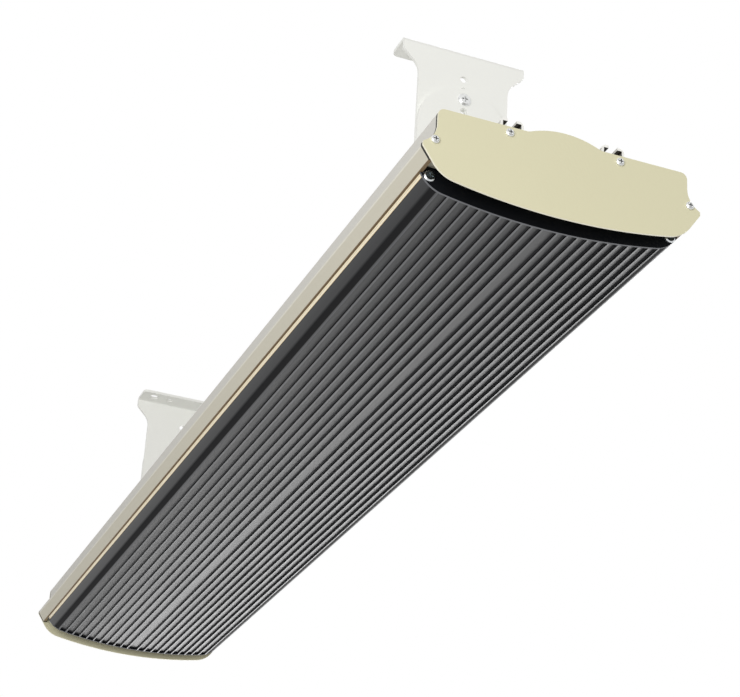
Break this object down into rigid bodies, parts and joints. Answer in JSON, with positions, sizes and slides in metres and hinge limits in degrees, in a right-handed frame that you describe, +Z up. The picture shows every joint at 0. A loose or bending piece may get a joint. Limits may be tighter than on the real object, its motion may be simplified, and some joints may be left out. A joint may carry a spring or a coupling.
{
  "type": "infrared heater bar",
  "caption": "Long radiant heater bar with a ribbed hot panel underneath, flat end caps, slotted rails on top and a tilting, sliding pair of ceiling brackets.",
  "frame": {"origin": "under the middle of the whole length, on the centre line, level with the foot of the end caps", "axes": "+X along the bar towards its near end, +Y across it, +Z up, away from the hot panel and towards the ceiling"},
  "size_m": [1.0128, 0.19, 0.2263],
  "materials": {
    "housing_paint": "satin powder coat",
    "cap_paint": "satin powder coat",
    "gasket_rubber": "matte",
    "zinc_screws": "bright zinc",
    "panel_black": "black anodised, satin",
    "plate_black": "satin black",
    "strip_champagne": "champagne anodised",
    "seal_fibre": "matte fibre",
    "element_steel": "heat-tinted",
    "insulator_ceramic": "glazed ceramic",
    "stud_nickel": "nickel plated",
    "clamp_steel": "galvanised",
    "blanket_fibre": "matte wool",
    "shield_steel": "mill finish",
    "block_plastic": "matte",
    "wire_brown": "satin",
    "wire_blue": "satin",
    "wire_white": "satin",
    "wire_green": "satin",
    "gland_grey": "matte",
    "gland_rubber": "matte",
    "bracket_paint": "satin powder coat"
  },
  "bodies": {
    "heater": {"housing": "housing_paint", "end_cap_near": "cap_paint", "end_cap_far": "cap_paint", "cap_gasket_near": "gasket_rubber", "cap_gasket_far": "gasket_rubber", "cap_screws_near": "zinc_screws", "cap_screws_far": "zinc_screws", "radiant_panel": "panel_black", "panel_end_plate_near": "plate_black", "panel_end_plate_far": "plate_black", "end_plate_screws_near": "zinc_screws", "end_plate_screws_far": "zinc_screws", "side_strip_left": "strip_champagne", "side_strip_right": "strip_champagne", "panel_seal_left": "seal_fibre", "panel_seal_right": "seal_fibre", "heating_element_left": "element_steel", "heating_element_right": "element_steel", "element_insulators": "insulator_ceramic", "element_terminals": "stud_nickel", "element_clamps": "clamp_steel", "clamp_screws": "zinc_screws", "insulation_blanket": "blanket_fibre", "heat_shield": "shield_steel", "terminal_block": "block_plastic", "terminal_block_screws": "stud_nickel", "wire_live": "wire_brown", "wire_neutral": "wire_blue", "wire_link": "wire_white", "wire_earth": "wire_green", "earth_screw": "zinc_screws", "wire_grommet": "gland_rubber", "gland_body": "gland_grey", "gland_dome_nut": "gland_grey", "gland_lock_nut": "gland_grey", "gland_seal": "gland_rubber"},
    "near_foot": {"lower_bracket_near": "bracket_paint", "t_bolts_near": "zinc_screws", "t_bolt_washers_near": "zinc_screws", "t_bolt_nuts_near": "zinc_screws", "pivot_bolt_near": "zinc_screws", "pivot_washer_near": "zinc_screws", "pivot_nut_near": "zinc_screws"},
    "near_hanger": {"upper_bracket_near": "bracket_paint"},
    "far_foot": {"lower_bracket_far": "bracket_paint", "t_bolts_far": "zinc_screws", "t_bolt_washers_far": "zinc_screws", "t_bolt_nuts_far": "zinc_screws", "pivot_bolt_far": "zinc_screws", "pivot_washer_far": "zinc_screws", "pivot_nut_far": "zinc_screws"},
    "far_hanger": {"upper_bracket_far": "bracket_paint"}
  },
  "joints": [
    {"name": "slide_near", "type": "slide", "parent": "heater", "child": "near_foot", "axis": [1, 0, 0], "range_m": [-0.25, 0.14]},
    {"name": "tilt_near", "type": "hinge", "parent": "near_foot", "child": "near_hanger", "pos_m": [0.33615, 0, 0.1833], "axis": [1, 0, 0], "range_deg": [-45, 45]},
    {"name": "slide_far", "type": "slide", "parent": "heater", "child": "far_foot", "axis": [1, 0, 0], "range_m": [-0.09, 0.25]},
    {"name": "tilt_far", "type": "hinge", "parent": "far_foot", "child": "far_hanger", "pos_m": [-0.36285, 0, 0.1833], "axis": [1, 0, 0], "range_deg": [-45, 45]}
  ],
  "couplings": [
    {"joint": "tilt_far", "follows": "tilt_near", "ratio": 1}
  ]
}
